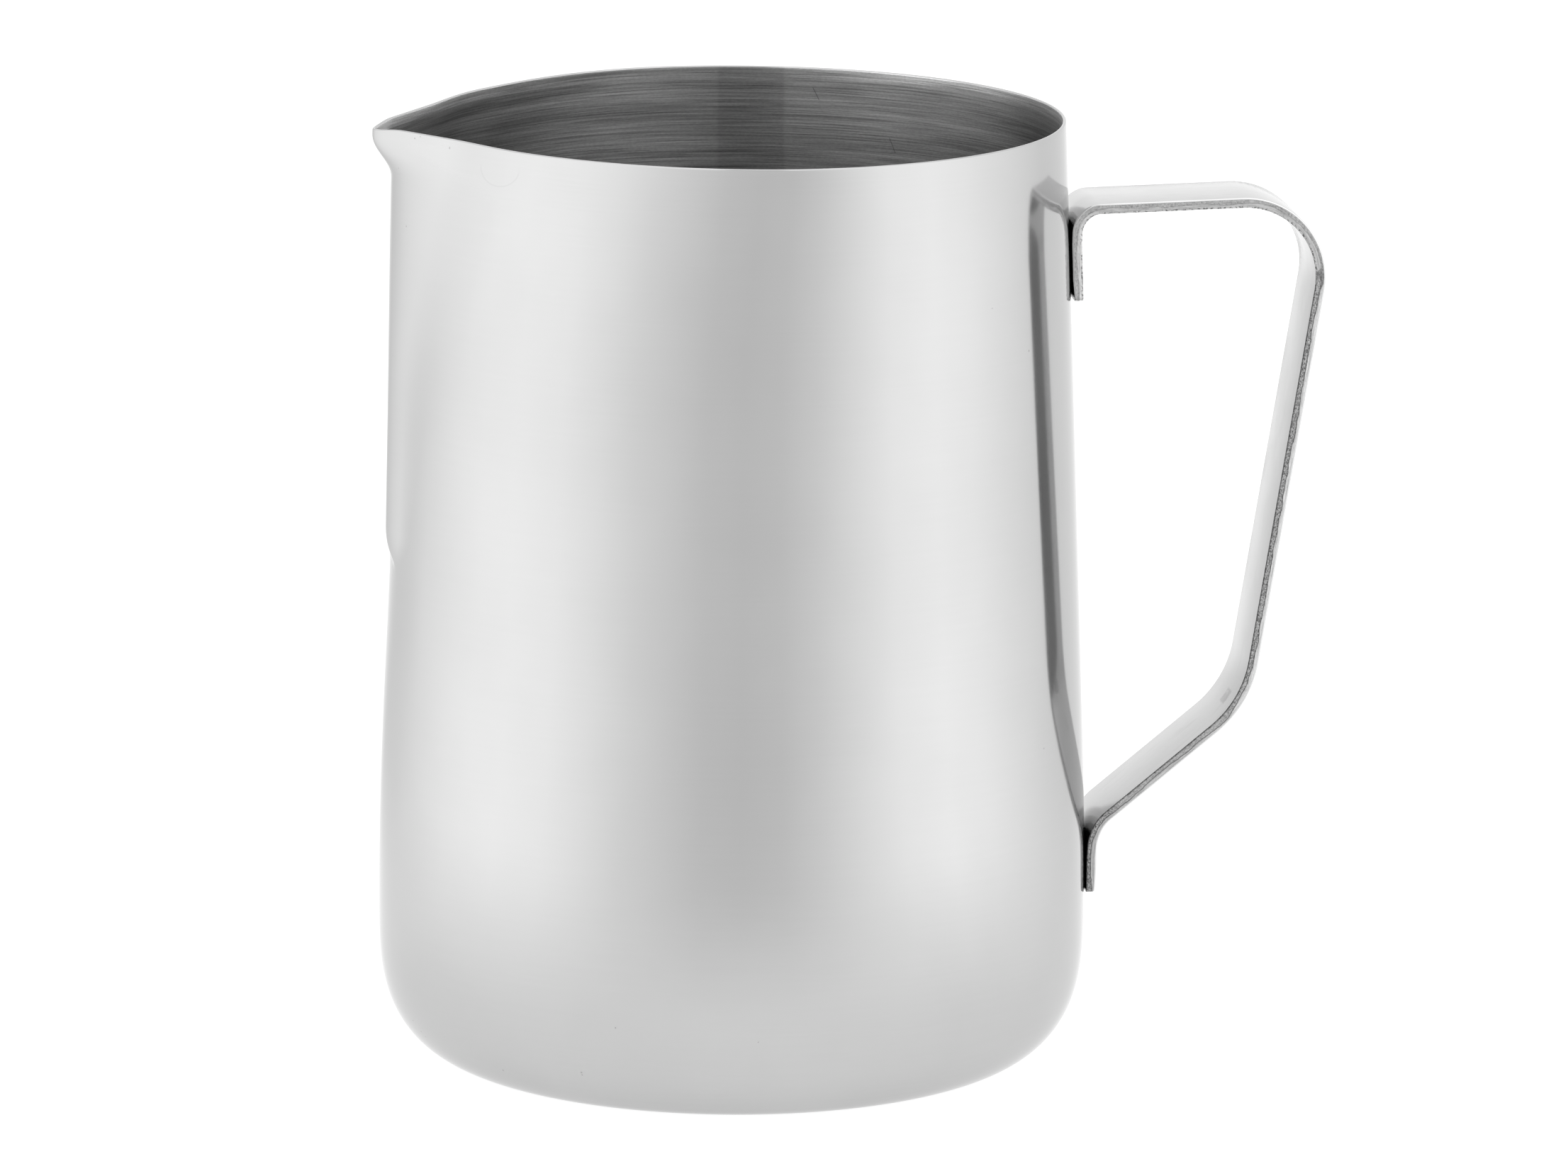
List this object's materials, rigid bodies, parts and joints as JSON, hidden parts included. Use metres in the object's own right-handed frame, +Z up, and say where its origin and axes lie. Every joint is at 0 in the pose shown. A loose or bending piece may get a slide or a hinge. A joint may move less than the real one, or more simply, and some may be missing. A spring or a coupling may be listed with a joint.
{
  "type": "milk frothing pitcher",
  "caption": "Pressed steel jug with a V spout and a flared lip, and a bent strap handle spot welded to its wall. For steaming and pouring milk.",
  "frame": {"origin": "centre of the flat base, on the surface the jug stands on", "axes": "+Z up along the jug's axis, +X from the axis through the middle of the handle, and the spout points along -X, turned 4.1 degrees towards -Y"},
  "size_m": [0.1726, 0.1287, 0.1729],
  "materials": {
    "jug_steel": "mirror polished outside, fine circular brushing inside",
    "strap_steel": "polished faces, sheared edges",
    "weld_steel": "as welded"
  },
  "bodies": {
    "root": {"jug_body": "jug_steel", "handle_strap": "strap_steel", "upper_weld_1": "weld_steel", "upper_weld_2": "weld_steel", "lower_weld_1": "weld_steel", "lower_weld_2": "weld_steel"}
  },
  "joints": []
}
